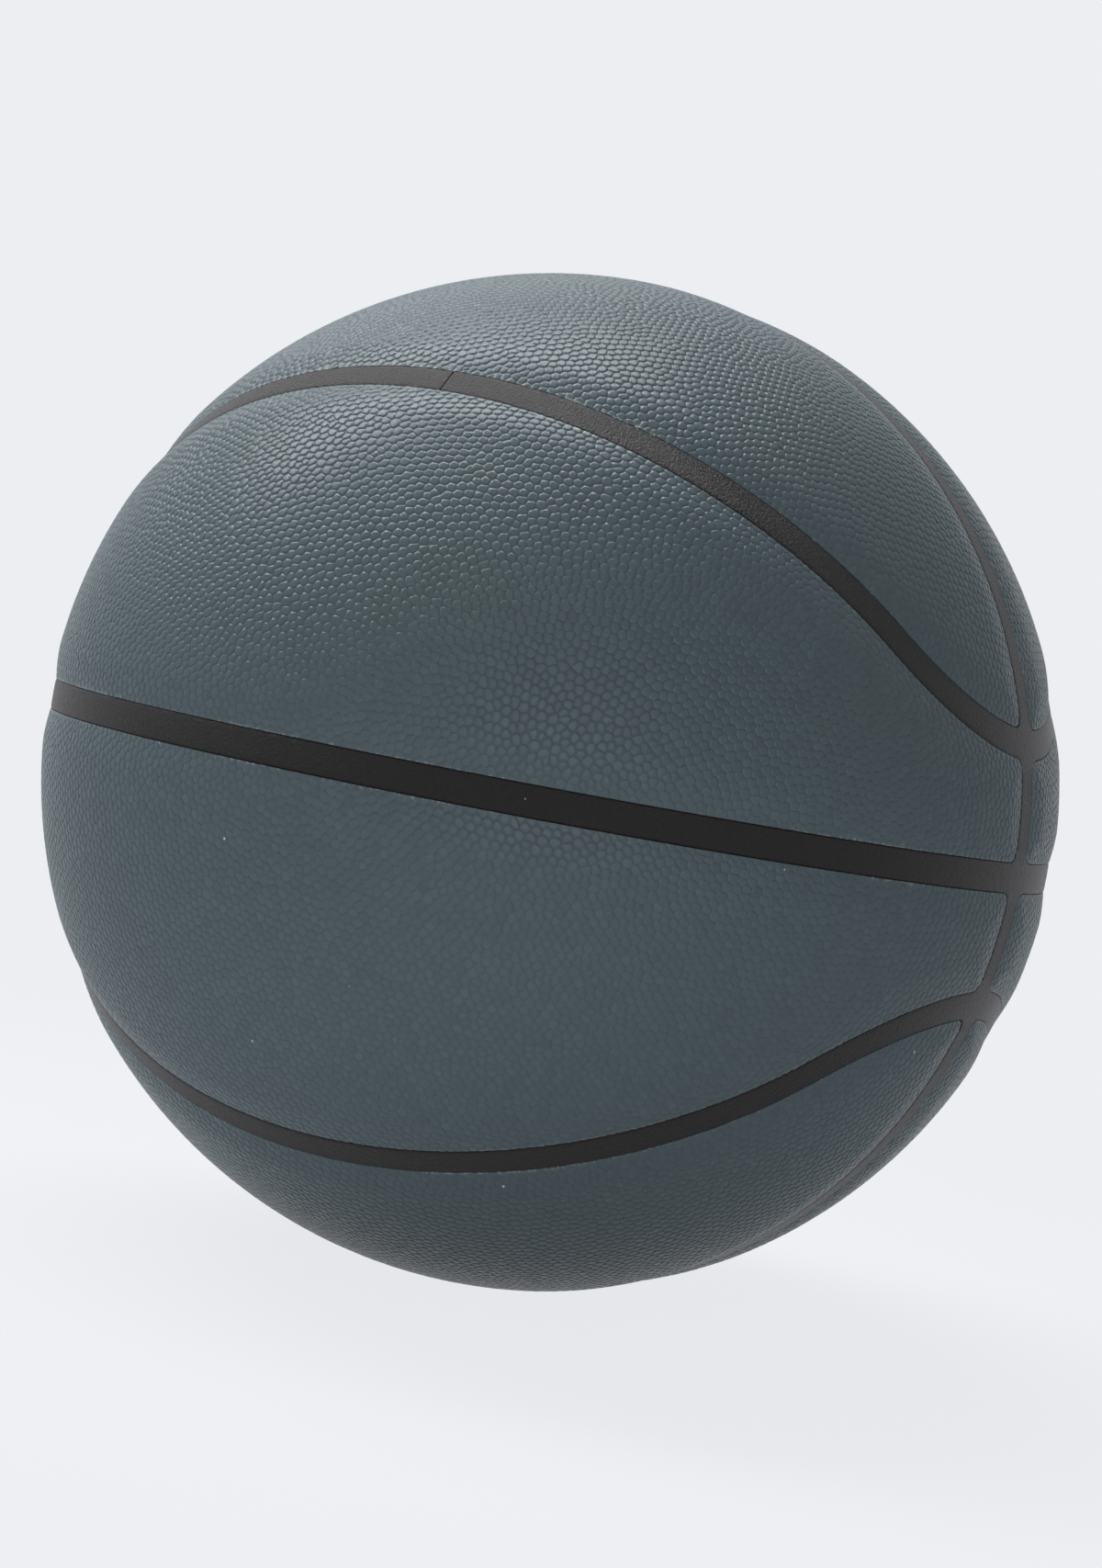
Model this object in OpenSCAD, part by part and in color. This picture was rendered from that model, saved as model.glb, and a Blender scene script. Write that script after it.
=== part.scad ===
// A size 7 basketball: eight cover panels on sponge backings, rubber channel strips between
// them, a rubber carcass, a wound nylon layer, a butyl bladder and its valve.
// The origin is the ball's centre. The middle channel lies in the XY plane and the cross
// channel in the YZ plane. The two loop channels run round +Z and -Z: each is a pair of
// tilted great circles, joined near +Y and -Y by round bends that cross the cross channel.
// Front is +X, right is +Y as seen from the front, and upper is +Z.

/* [Ball] */
// Outside diameter over the cover panels
ball_d = 239; // [180:1:260]

/* [Cover panels] */
// Thickness of a panel away from its edges
cover_t = 1.4; // [1.2:0.1:2]
// Width of the steep part of a panel's edge, next to the channel
ramp_w = 4.2; // [2:0.2:6]
// How far below the ball's surface the steep part ends
ramp_drop = 0.3; // [0.1:0.05:0.4]
// Whole width over which a panel's edge thins down to the channel
edge_w = 8; // [6.5:0.5:12]
// Radius of a panel's corner where two channels cross
corner_r = 3; // [1:0.5:6]

/* [Sponge backings] */
// Thickness of the sponge under each panel
sponge_t = 1.6; // [0.8:0.1:3]

/* [Channels] */
// Width of the rubber that shows between two panels
channel_w = 7; // [4:0.5:10]
// Depth of that rubber below the ball's surface
channel_depth = 0.95; // [0.5:0.05:1.1]
// Tilt of a loop's straight stretches from the middle channel, in degrees
loop_tilt = 45; // [42:1:50]
// Latitude at which a loop crosses the cross channel, in degrees
loop_low = 14.4; // [12:0.2:18]
// Gap of the butt joint that closes a strip
butt_gap = 0.3; // [0.1:0.05:1]

/* [Carcass, winding and bladder] */
// Thickness of the moulded rubber carcass
carcass_t = 0.9; // [0.7:0.1:2]
// Thickness of the wound nylon layer
winding_t = 0.5; // [0.3:0.1:1.2]
// Thickness of the butyl bladder
bladder_t = 0.6; // [0.5:0.1:1.2]
// Glue line between two pieces that are bonded to each other
glue_gap = 0.05; // [0.02:0.01:0.1]

/* [Valve] */
// Latitude of the valve below the middle channel, on the rear, in degrees
valve_low = 22; // [18:1:26]
// Outside diameter of the rubber boot
boot_d = 9; // [8:0.5:12]
// Length of the boot
boot_len = 24; // [20:1:30]
// Depth of the boot's mouth below the ball's surface
boot_sink = 0.4; // [0.1:0.05:0.8]
// Diameter of the flange that is bonded inside the bladder
flange_d = 26; // [18:1:34]
// Thickness of that flange
flange_t = 1.2; // [0.8:0.1:2]
// Diameter of the plug's head
head_d = 6; // [5.2:0.2:7]
// Height of the plug's head
head_h = 2.4; // [1.5:0.1:3.5]
// Diameter of the plug's stem
stem_d = 4.6; // [3.8:0.2:5]
// Length of the plug's stem below its head
stem_len = 17; // [15:1:18]
// Diameter of the collar that locks the plug in the boot
collar_d = 6; // [5.2:0.2:7]
// Height of that collar
collar_h = 1.6; // [1:0.1:2.5]
// Depth of the collar's upper face below the head
collar_depth = 8; // [6:0.5:10]
// Diameter of the hole that guides the inflation needle
needle_d = 2.1; // [1.8:0.1:2.6]
// Depth of that hole below the plug's top face
needle_depth = 13; // [8:0.5:15]
// Diameter of the funnel at the hole's mouth
funnel_d = 3.4; // [2.8:0.1:4.4]
// Depth of the funnel
funnel_h = 1; // [0.4:0.1:1.4]

/* [Hidden] */
$fn = 180;
front = 1;
rear = -1;
upper = 1;
lower = -1;
right = 1;
left = -1;
straight = "straight";
sloped = "sloped";
near = "near";
far = "far";

// Radii of the layers, from the outside in
ball_r = ball_d / 2;
cover_in_r = ball_r - cover_t;
sponge_r = cover_in_r - glue_gap;
sponge_in_r = sponge_r - sponge_t;
carcass_r = sponge_in_r - glue_gap;
winding_r = carcass_r - carcass_t - glue_gap;
bladder_r = winding_r - winding_t - glue_gap;
bladder_in_r = bladder_r - bladder_t;
strip_r = ball_r - channel_depth;
strip_base_r = carcass_r + glue_gap;

// Cuts run past what they cut by this much, and half spaces reach this far
overrun = 2;
reach = ball_d;
seam_turn = 200;

// Half widths of a strip and of the slot that holds it, and the ends of the two slopes of
// a panel's edge, as angles at the centre
half_w = channel_w / 2;
strip_half = arc_deg(half_w);
slot_half = arc_deg(half_w + glue_gap);
ramp_end = slot_half + arc_deg(ramp_w);
edge_end = slot_half + arc_deg(edge_w);

// Half of a crossing's pad and its glue line, as an angle
pad_half = asin((half_w + corner_r + glue_gap) / strip_base_r);

// The bend of a loop is a small circle, whose centre is at latitude bend_lat over +Y
// or -Y. It would just touch the loop's two tilted great circles, but it is let in by a
// hundredth of a degree, so that no two faces touch without crossing.
let_in = 0.01;
bend_lat = atan2(sin(loop_low), cos(loop_low) - cos(loop_tilt));
bend_polar = bend_lat - loop_low - let_in;
bend_half = atan2(sin(loop_tilt), cos(loop_tilt) * cos(bend_lat));

// Heights along the valve's axis, from the ball's centre
boot_top = ball_r - boot_sink;
head_bottom = boot_top - head_h;
collar_top = head_bottom - collar_depth;

cover_colour = "#47535b";
strip_colour = "#26282a";
sponge_colour = "#8d9196";
carcass_colour = "#2f2f30";
winding_colour = "#d9d6c8";
bladder_colour = "#1d1d1f";
valve_colour = "#343537";

// Angle at the ball's centre of a length along its surface
function arc_deg(len) = len / ball_r * 180 / PI;

// Point of a section: its distance from the centre and its angle from the axis
function polar(r, angle) = [r * sin(angle), r * cos(angle)];

// Section of everything whose angle from the axis is less than the given one
module zone(angle) {
    polygon([[0, 0], polar(reach, angle), [reach * sin(angle), reach], [0, reach]]);
}

// Disc round a point of the axis, whose edge passes through two points of the section
module slope_disc(low, high) {
    lift = (low * low - high * high) / (2 * (low[1] - high[1]));
    translate([0, lift]) circle(r = norm([low[0], low[1] - lift]));
}

// Section of the panels on the near side of a channel: a steep slope rises from the
// channel's floor, and a flat one meets the ball's surface
module near_slopes(middle) {
    foot = polar(ball_r - channel_depth, middle - slot_half);
    knee = polar(ball_r - ramp_drop, middle - ramp_end);
    top = polar(ball_r, middle - edge_end);
    intersection() {
        zone(middle - slot_half);
        slope_disc(foot, knee);
        slope_disc(knee, top);
    }
}

// Section of what the panels on the far side leave free. Their flat slope goes on past the
// ball's surface.
module far_slopes(middle) {
    past_share = 0.3;
    past_end = middle + edge_end + past_share * (edge_end - ramp_end);
    polygon([
        [0, 0],
        polar(ball_r - channel_depth, middle + slot_half),
        polar(ball_r - ramp_drop, middle + ramp_end),
        polar(ball_r + past_share * ramp_drop, past_end),
        polar(reach, past_end),
        [reach * sin(past_end), reach],
        [0, reach]
    ]);
}

// Turns a section round Z, from the rear on
module turned() {
    rotate([0, 0, 180]) rotate_extrude() children();
}

// Everything whose angle from +Z is less than the given one
module inside(angle) {
    turned() zone(angle);
}

// The same, up to the near or the far side of the channel whose middle is at the given
// angle, as the edges of the pieces next to it ask for
module bounded(middle, edges, side) {
    turned() {
        if (edges == sloped && side == near) near_slopes(middle);
        if (edges == sloped && side == far) far_slopes(middle);
        if (edges == straight && side == near) zone(middle - slot_half);
        if (edges == straight && side == far) zone(middle + slot_half);
    }
}

// Turns +Z to the given latitude over +Y
module at_latitude(latitude) {
    rotate([latitude - 90, 0, 0]) children();
}

// The front, as far as the cross channel
module front_side(edges) {
    rotate([0, 90, 0]) rotate([0, 0, 180]) bounded(90, edges, near);
}

// The upper half, as far as the middle channel
module upper_side(edges) {
    bounded(90, edges, near);
}

// The two corners that the bends cut off, where the children are what a bend holds
module bend_cuts() {
    for (m = [0, 1]) mirror([0, m, 0]) at_latitude(bend_lat) difference() {
        linear_extrude(reach) polygon([
            [0, 0],
            [reach * sin(bend_half), reach * cos(bend_half)],
            [-reach * sin(bend_half), reach * cos(bend_half)]
        ]);
        children();
    }
}

// What the upper loop holds, right on the front only
module loop_front(edges, side) {
    difference() {
        rotate([0, -loop_tilt, 0]) bounded(90, edges, side);
        bend_cuts() bounded(bend_polar, edges, side);
    }
}

// What the upper loop holds all round, and the given angle more
module loop_whole(more) {
    difference() {
        intersection() {
            rotate([0, -loop_tilt, 0]) inside(90 + more);
            rotate([0, loop_tilt, 0]) inside(90 + more);
        }
        bend_cuts() inside(bend_polar + more);
    }
}

// Pads where two channels cross over +Y and -Y: squares with their four corners scooped out
module crossing_pads(latitude, half) {
    side = half + corner_r;
    low = carcass_r - overrun;
    tall = ball_r + overrun - low;
    for (m = [0, 1]) mirror([0, m, 0]) at_latitude(latitude) difference() {
        translate([-side, -side, low]) cube([2 * side, 2 * side, tall]);
        for (x = [-side, side], y = [-side, side])
            translate([x, y, low - overrun]) cylinder(h = tall + 2 * overrun, r = corner_r);
    }
}

// Hollow ball, whose own seam lies on the rear, off the joints of the strips
module shell(outer_r, inner_r) {
    rotate([0, 0, seam_turn]) difference() {
        sphere(r = outer_r);
        sphere(r = inner_r);
    }
}

// Moves a piece that is drawn for the front, upper and right side to another side
module to_side(fore, level, hand = 1) {
    mirror([fore < 0 ? 1 : 0, 0, 0]) mirror([0, 0, level < 0 ? 1 : 0]) mirror([0, hand < 0 ? 1 : 0, 0])
        children();
}

// Turns +Z to the valve's axis
module at_valve() {
    rotate([0, -90 - valve_low, 0]) children();
}

// Hole that the boot passes through
module boot_hole() {
    at_valve() cylinder(h = ball_r + overrun, r = boot_d / 2 + glue_gap);
}

// The front upper piece of a layer inside the loop
module cap_piece(outer_r, inner_r, edges) {
    difference() {
        intersection() {
            shell(outer_r, inner_r);
            front_side(edges);
            loop_front(edges, near);
        }
        crossing_pads(loop_low, half_w + glue_gap);
    }
}

// The front upper piece of a layer between the middle channel and the loop
module band_piece(outer_r, inner_r, edges) {
    difference() {
        difference() {
            intersection() {
                shell(outer_r, inner_r);
                front_side(edges);
                upper_side(edges);
            }
            loop_front(edges, far);
        }
        crossing_pads(0, half_w + glue_gap);
        crossing_pads(loop_low, half_w + glue_gap);
    }
}

module cap_panel(fore, level) {
    color(cover_colour) to_side(fore, level) cap_piece(ball_r, cover_in_r, sloped);
}

module cap_sponge(fore, level) {
    color(sponge_colour) to_side(fore, level) cap_piece(sponge_r, sponge_in_r, straight);
}

module band_panel(fore, level) {
    color(cover_colour) to_side(fore, level) band_piece(ball_r, cover_in_r, sloped);
}

module band_sponge(fore, level) {
    color(sponge_colour) to_side(fore, level) band_piece(sponge_r, sponge_in_r, straight);
}

module cap_panel_upper_front() { cap_panel(front, upper); }
module cap_panel_upper_rear() { cap_panel(rear, upper); }
module cap_panel_lower_front() { cap_panel(front, lower); }
module cap_panel_lower_rear() { cap_panel(rear, lower); }

module band_panel_upper_front() { band_panel(front, upper); }
module band_panel_upper_rear() { band_panel(rear, upper); }
module band_panel_lower_front() { band_panel(front, lower); }
module band_panel_lower_rear() {
    color(cover_colour) difference() {
        band_panel(rear, lower);
        boot_hole();
    }
}

module cap_sponge_upper_front() { cap_sponge(front, upper); }
module cap_sponge_upper_rear() { cap_sponge(rear, upper); }
module cap_sponge_lower_front() { cap_sponge(front, lower); }
module cap_sponge_lower_rear() { cap_sponge(rear, lower); }

module band_sponge_upper_front() { band_sponge(front, upper); }
module band_sponge_upper_rear() { band_sponge(rear, upper); }
module band_sponge_lower_front() { band_sponge(front, lower); }
module band_sponge_lower_rear() {
    color(sponge_colour) difference() {
        band_sponge(rear, lower);
        boot_hole();
    }
}

// Slit of a butt joint at the given latitude, on the front
module butt_slit(latitude) {
    rotate([0, -latitude, 0]) translate([0, -butt_gap / 2, -channel_w])
        cube([reach, butt_gap, 2 * channel_w]);
}

// Ring of rubber round the middle, with the pads of its two crossings and its joint at the rear
module middle_strip() {
    color(strip_colour) difference() {
        intersection() {
            shell(strip_r, strip_base_r);
            union() {
                difference() {
                    inside(90 + strip_half);
                    inside(90 - strip_half);
                }
                crossing_pads(0, half_w);
            }
        }
        mirror([1, 0, 0]) butt_slit(0);
    }
}

// Loop of rubber with the pads of its two crossings, and its joint halfway between them
module loop_strip(fore, level) {
    color(strip_colour) to_side(fore, level) difference() {
        intersection() {
            shell(strip_r, strip_base_r);
            union() {
                difference() {
                    loop_whole(strip_half);
                    loop_whole(-strip_half);
                }
                crossing_pads(loop_low, half_w);
            }
        }
        butt_slit(loop_tilt);
    }
}

module loop_strip_upper() { loop_strip(front, upper); }
module loop_strip_lower() { loop_strip(rear, lower); }

// Stretch of the cross channel's strip on the right, from one latitude to another
module cross_strip(from, to) {
    intersection() {
        shell(strip_r, strip_base_r);
        rotate([90, 0, 90]) rotate_extrude(start = from, angle = to - from) polygon([
            polar(carcass_r - overrun, 90 - strip_half),
            polar(ball_r + overrun, 90 - strip_half),
            polar(ball_r + overrun, 90 + strip_half),
            polar(carcass_r - overrun, 90 + strip_half)
        ]);
    }
}

// Strip of the cross channel over the top, from pad to pad
module cross_strip_over(level) {
    color(strip_colour) to_side(front, level) cross_strip(loop_low + pad_half, 180 - loop_low - pad_half);
}

// Short strip of the cross channel between the middle channel's pad and a loop's
module cross_strip_short(level, hand) {
    color(strip_colour) to_side(front, level, hand) cross_strip(pad_half, loop_low - pad_half);
}

module cross_strip_top() { cross_strip_over(upper); }
module cross_strip_bottom() { cross_strip_over(lower); }
module cross_strip_upper_right() { cross_strip_short(upper, right); }
module cross_strip_upper_left() { cross_strip_short(upper, left); }
module cross_strip_lower_right() { cross_strip_short(lower, right); }
module cross_strip_lower_left() { cross_strip_short(lower, left); }

// A layer that goes all round, with the hole for the boot
module layer(outer_r, thick) {
    difference() {
        shell(outer_r, outer_r - thick);
        boot_hole();
    }
}

module carcass() { color(carcass_colour) layer(carcass_r, carcass_t); }
module winding() { color(winding_colour) layer(winding_r, winding_t); }
module bladder() { color(bladder_colour) layer(bladder_r, bladder_t); }

// Outline of the plug, grown by the given fit, for the plug and for its seat in the boot
module plug_body(fit, top_overrun = 0) {
    translate([0, 0, head_bottom - fit]) cylinder(h = head_h + fit + top_overrun, r = head_d / 2 + fit);
    translate([0, 0, head_bottom - stem_len]) cylinder(h = stem_len, r = stem_d / 2 + fit);
    translate([0, 0, collar_top - collar_h - fit]) cylinder(h = collar_h + 2 * fit, r = collar_d / 2 + fit);
}

// Rubber boot: a tube from the panel's surface into the bladder, and the flange inside it
module valve_boot() {
    color(valve_colour) difference() {
        union() {
            at_valve() translate([0, 0, boot_top - boot_len]) cylinder(h = boot_len, r = boot_d / 2);
            intersection() {
                shell(bladder_in_r - glue_gap, bladder_in_r - glue_gap - flange_t);
                at_valve() cylinder(h = reach, r = flange_d / 2);
            }
        }
        at_valve() {
            plug_body(glue_gap, overrun);
            translate([0, 0, boot_top - boot_len - overrun])
                cylinder(h = boot_len, r = stem_d / 2 + glue_gap);
        }
    }
}

// Rubber plug with the needle's guide hole, which ends above the slit that seals it
module valve_plug() {
    color(valve_colour) at_valve() difference() {
        plug_body(0);
        translate([0, 0, boot_top - needle_depth]) cylinder(h = needle_depth + overrun, r = needle_d / 2);
        translate([0, 0, boot_top - funnel_h]) cylinder(h = funnel_h, r1 = needle_d / 2, r2 = funnel_d / 2);
    }
}

cap_panel_upper_front();
cap_panel_upper_rear();
cap_panel_lower_front();
cap_panel_lower_rear();
band_panel_upper_front();
band_panel_upper_rear();
band_panel_lower_front();
band_panel_lower_rear();
cap_sponge_upper_front();
cap_sponge_upper_rear();
cap_sponge_lower_front();
cap_sponge_lower_rear();
band_sponge_upper_front();
band_sponge_upper_rear();
band_sponge_lower_front();
band_sponge_lower_rear();
middle_strip();
loop_strip_upper();
loop_strip_lower();
cross_strip_top();
cross_strip_bottom();
cross_strip_upper_right();
cross_strip_upper_left();
cross_strip_lower_right();
cross_strip_lower_left();
carcass();
winding();
bladder();
valve_boot();
valve_plug();
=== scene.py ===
"""A size 7 basketball of pebbled composite leather, with black rubber channel strips.

Lengths are in millimetres until a mesh is made, and in metres from there on. The ball's
centre is the origin. The middle channel lies in the XY plane, the cross channel in the
YZ plane, and the two loop channels run round +Z and -Z. Front is +X.
"""
import logging
import math
from dataclasses import dataclass, field
from enum import Enum
from itertools import product
from typing import Any

import bpy
import numpy as np
from mathutils import Matrix
from mathutils.geometry import delaunay_2d_cdt


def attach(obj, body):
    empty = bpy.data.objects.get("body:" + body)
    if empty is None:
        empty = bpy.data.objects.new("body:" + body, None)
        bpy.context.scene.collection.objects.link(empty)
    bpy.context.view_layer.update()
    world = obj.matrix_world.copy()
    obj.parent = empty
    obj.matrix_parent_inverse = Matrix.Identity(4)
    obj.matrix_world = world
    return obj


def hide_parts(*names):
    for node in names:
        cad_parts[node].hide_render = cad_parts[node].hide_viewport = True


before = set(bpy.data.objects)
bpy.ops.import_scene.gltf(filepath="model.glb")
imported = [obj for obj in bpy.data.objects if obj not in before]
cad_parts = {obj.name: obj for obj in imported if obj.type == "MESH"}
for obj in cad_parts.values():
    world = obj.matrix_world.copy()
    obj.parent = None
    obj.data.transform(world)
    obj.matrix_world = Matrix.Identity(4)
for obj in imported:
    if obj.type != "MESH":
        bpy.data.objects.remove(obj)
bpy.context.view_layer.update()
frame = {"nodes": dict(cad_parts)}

log = logging.getLogger("basketball")
MM = 0.001
BALL_R = 119.5
VALVE_HOLE_R = 4.55
VALVE_BELOW = 22.0  # degrees below the middle channel
Array = np.ndarray
X, Y, Z = np.eye(3)
Piece = bpy.types.Object
Material = bpy.types.Material
Tree = bpy.types.NodeTree
Node = bpy.types.Node
Socket = bpy.types.NodeSocket


class Fore(Enum):
    """Side of the cross channel that a piece lies on."""
    FRONT = 1
    REAR = -1


class Level(Enum):
    """Side of the middle channel that a piece lies on."""
    UPPER = 1
    LOWER = -1


class PanelKind(Enum):
    """Cap panels lie inside a loop, band panels between a loop and the middle channel."""
    CAP = "cap"
    BAND = "band"


# ---------------------------------------------------------------------- shared helpers

def linear(hex_colour: str) -> tuple[float, float, float, float]:
    """Turns an sRGB hex colour into linear red, green, blue and alpha.

    Args:
        hex_colour: colour such as "#4b575f".

    Returns:
        The linear colour with alpha 1.
    """
    parts = [int(hex_colour[i:i + 2], 16) / 255 for i in (1, 3, 5)]
    red, green, blue = (c / 12.92 if c <= 0.04045 else ((c + 0.055) / 1.055) ** 2.4 for c in parts)
    return red, green, blue, 1.0


def add(tree: Tree, kind: str, sockets: dict[Any, Any] | None = None, **settings: Any) -> Node:
    """Adds a shader node with its settings and links.

    Args:
        tree: node tree that takes the node.
        kind: Blender's name of the node type, after its "ShaderNode".
        sockets: input name or number against a value, an sRGB hex colour, an output, or
            a node, which stands for its first output in use.
        settings: properties of the node.

    Returns:
        The new node.
    """
    node = tree.nodes.new("ShaderNode" + kind)
    for name, value in settings.items():
        setattr(node, name, value)
    for name, value in (sockets or {}).items():
        if isinstance(value, str):
            value = linear(value)
        if isinstance(value, Node):
            value = next(output for output in value.outputs if output.enabled)
        if isinstance(value, Socket):
            tree.links.new(value, node.inputs[name])
        else:
            node.inputs[name].default_value = value
    return node


def unit(vectors: Array) -> Array:
    """Scales each row to length 1."""
    return vectors / np.linalg.norm(vectors, axis=-1, keepdims=True)


def tangents(p: Array) -> tuple[Array, Array]:
    """Two unit vectors along the ball's surface at each of n unit vectors."""
    side = unit(np.cross(p, np.where(np.abs(p[:, 2:]) < 0.9, [[0.0, 0.0, 1.0]], [[1.0, 0.0, 0.0]])))
    return side, np.cross(p, side)


def swing(turn: Array | float, start: Array, towards: Array) -> Array:
    """A unit vector turned towards one square to it: cos(turn) start + sin(turn) towards."""
    return np.cos(turn) * start + np.sin(turn) * towards


def circle_round(axis: Array, steps: int) -> Array:
    """Unit vectors round an axis in the XZ plane, from Y on."""
    return swing(np.arange(steps)[:, None] * 2 * math.pi / steps, Y, np.cross(axis, Y))


def arc_to(p: Array, point: Array) -> Array:
    """Distances along the ball's surface from unit vectors to a point."""
    return BALL_R * np.arccos(np.clip(p @ point, -1, 1))


def arc_over(height: Array) -> Array:
    """Distances along the ball's surface from a great circle, for heights over its plane."""
    return BALL_R * np.arcsin(np.clip(height, -1, 1))


def ring_faces(rows: Array, following: Array) -> Array:
    """Triangles between rows of point numbers, each row closed on itself.

    Args:
        rows: n x m point numbers.
        following: n x m numbers of the row after each.

    Returns:
        Two triangles for each quad.
    """
    quads = np.stack([rows, following, np.roll(following, -1, axis=1), np.roll(rows, -1, axis=1)],
                     axis=-1).reshape(-1, 4)
    return np.vstack([quads[:, [0, 1, 2]], quads[:, [0, 2, 3]]])


def turned_out(points: Array, faces: Array) -> Array:
    """The faces of a closed shell, turned over if they enclose less than nothing."""
    a, b, c = (points[faces[:, k]] for k in range(3))
    return faces[:, ::-1] if np.einsum("ij,ij->i", a, np.cross(b, c)).sum() < 0 else faces


def make_piece(name: str, points: Array, faces: Array, node: str, material: Material,
               values: dict[str, Array] | None = None, sharp: float = 60.0) -> None:
    """Makes a mesh object out of arrays, dresses it and puts it in place of a CAD node.

    Args:
        name: the piece's name.
        points: n x 3 points in millimetres.
        faces: m x 3 point numbers, counter-clockwise from outside.
        node: CAD node that the piece stands for.
        material: the piece's finish.
        values: attribute names against one number per point.
        sharp: edges that bend by more than this many degrees stay sharp.
    """
    mesh = bpy.data.meshes.new(name)
    faces = np.asarray(faces, dtype=np.int32)
    count, corners = faces.shape
    mesh.vertices.add(len(points))
    mesh.vertices.foreach_set("co", (points * MM).astype(np.float32).ravel())
    mesh.loops.add(count * corners)
    mesh.loops.foreach_set("vertex_index", faces.ravel())
    mesh.polygons.add(count)
    mesh.polygons.foreach_set("loop_start", np.arange(count, dtype=np.int32) * corners)
    mesh.update(calc_edges=True)
    mesh.validate()
    for key, numbers in (values or {}).items():
        layer = mesh.attributes.new(key, "FLOAT", "POINT")
        layer.data.foreach_set("value", np.asarray(numbers, dtype=np.float32))
    mesh.polygons.foreach_set("use_smooth", np.ones(len(mesh.polygons), dtype=bool))
    mesh.set_sharp_from_angle(angle=math.radians(sharp))
    piece = bpy.data.objects.new(name, mesh)
    bpy.context.scene.collection.objects.link(piece)
    mesh.materials.append(material)
    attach(piece, "root")
    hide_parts(node)
    log.info("%s: %d points, %d faces", name, len(points), count)


# ---------------------------------------------------------------------- the seam layout

@dataclass(frozen=True)
class SeamPlan:
    """Where the channels run. Distances are measured along the ball's surface in mm.

    Attributes:
        half: half the width of the slot between two panels.
        corner: radius of a panel's corner at a crossing.
        tilt: tilt of a loop's straight stretches, in degrees.
        low: latitude at which a loop crosses the cross channel, in degrees.
        depth: depth of the channels below the ball's surface.
        edge: width over which a panel's edge curves down to its channel.
        frayed: unit vector to the stretch of upper loop where the cut edge frays most and is
            paler still: a painted highlight of the top light.
        fray_and_highlight_reach: how far from there the fraying and the painted highlight fade.
    """
    half: float = 3.55
    corner: float = 3.0
    tilt: float = 45.0
    low: float = 14.4
    depth: float = 0.95
    edge: float = 8.3
    frayed: tuple[float, float, float] = (0.6512, 0.3413, 0.6779)
    fray_and_highlight_reach: float = 11.0

    @property
    def bend(self) -> tuple[float, float, float]:
        """Latitude of a bend's centre, the bend's angular radius, and half its turn."""
        low, tilt = math.radians(self.low), math.radians(self.tilt)
        lat = math.atan2(math.sin(low), math.cos(low) - math.cos(tilt))
        return lat, lat - low, math.atan2(math.sin(tilt), math.cos(tilt) * math.cos(lat))

    def loop_distance(self, p: Array) -> Array:
        """Distance from the upper loop's middle line, positive inside the loop.

        A loop is two great circles tilted by tilt, z cos = |x| sin, whose distance is
        R asin(z cos - |x| sin). Near +Y and -Y a small circle round the bend's centre
        takes over inside its wedge, with distance R (radius - angle from the centre).

        Args:
            p: n x 3 unit vectors.

        Returns:
            n distances in mm.
        """
        tilt = math.radians(self.tilt)
        lat, polar, turn = self.bend
        x, y, z = np.abs(p[:, 0]), np.abs(p[:, 1]), p[:, 2]
        great = arc_over(z * math.cos(tilt) - x * math.sin(tilt))
        out = y * math.cos(lat) + z * math.sin(lat)
        down = y * math.sin(lat) - z * math.cos(lat)
        round_bend = BALL_R * (polar - np.arccos(np.clip(out, -1, 1)))
        return np.where((np.arctan2(x, down) < turn) & (out > 0), round_bend, great)

    def rounded_min(self, a: Array, b: Array) -> Array:
        """The lesser of two edge distances, with the corner between them rounded."""
        r = self.corner
        near = (a < r) & (b < r)
        return np.where(near, r - np.hypot(r - a, r - b), np.minimum(a, b))


@dataclass(frozen=True)
class PanelField:
    """Distance of surface points from one panel's outline, positive inside it."""
    plan: SeamPlan
    kind: PanelKind
    fore: Fore
    level: Level
    hole: Array | None = None

    def distance(self, p: Array) -> Array:
        """Works out the distances.

        Args:
            p: n x 3 unit vectors.

        Returns:
            n distances in mm.
        """
        q = p * np.array([self.fore.value, 1.0, self.level.value])
        plan = self.plan
        cross = arc_over(q[:, 0]) - plan.half
        loop = plan.loop_distance(q)
        if self.kind is PanelKind.CAP:
            d = plan.rounded_min(cross, loop - plan.half)
        else:
            middle = arc_over(q[:, 2]) - plan.half
            d = plan.rounded_min(cross, plan.rounded_min(middle, -loop - plan.half))
        if self.hole is not None:
            d = np.minimum(d, arc_to(p, self.hole) - VALVE_HOLE_R)
        return d

    def slope(self, p: Array) -> tuple[Array, Array]:
        """Distances and their gradient, by central differences along two tangents.

        Args:
            p: n x 3 unit vectors.

        Returns:
            n distances and n x 3 unit gradients.
        """
        step, least = 0.02, 0.3
        gradient = np.zeros_like(p)
        for way in tangents(p):
            ahead = self.distance(unit(p + way * (step / BALL_R)))
            behind = self.distance(unit(p - way * (step / BALL_R)))
            gradient += way * ((ahead - behind) / (2 * step))[:, None]
        size = np.maximum(np.linalg.norm(gradient, axis=1, keepdims=True), least)
        return self.distance(p), gradient / size

    def onto(self, p: Array) -> Array:
        """Moves points along the slope to the panel's outline."""
        away, uphill = self.slope(p)
        return unit(p - uphill * (away / BALL_R)[:, None])

    def drop(self, p: Array) -> Array:
        """How far the panel lies below the ball's surface: depth (1 - d / edge) ^ 1.5."""
        share = np.clip(1 - np.maximum(self.distance(p), 0) / self.plan.edge, 0, 1)
        return self.plan.depth * share ** 1.5


# ---------------------------------------------------------------------- finishes

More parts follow.
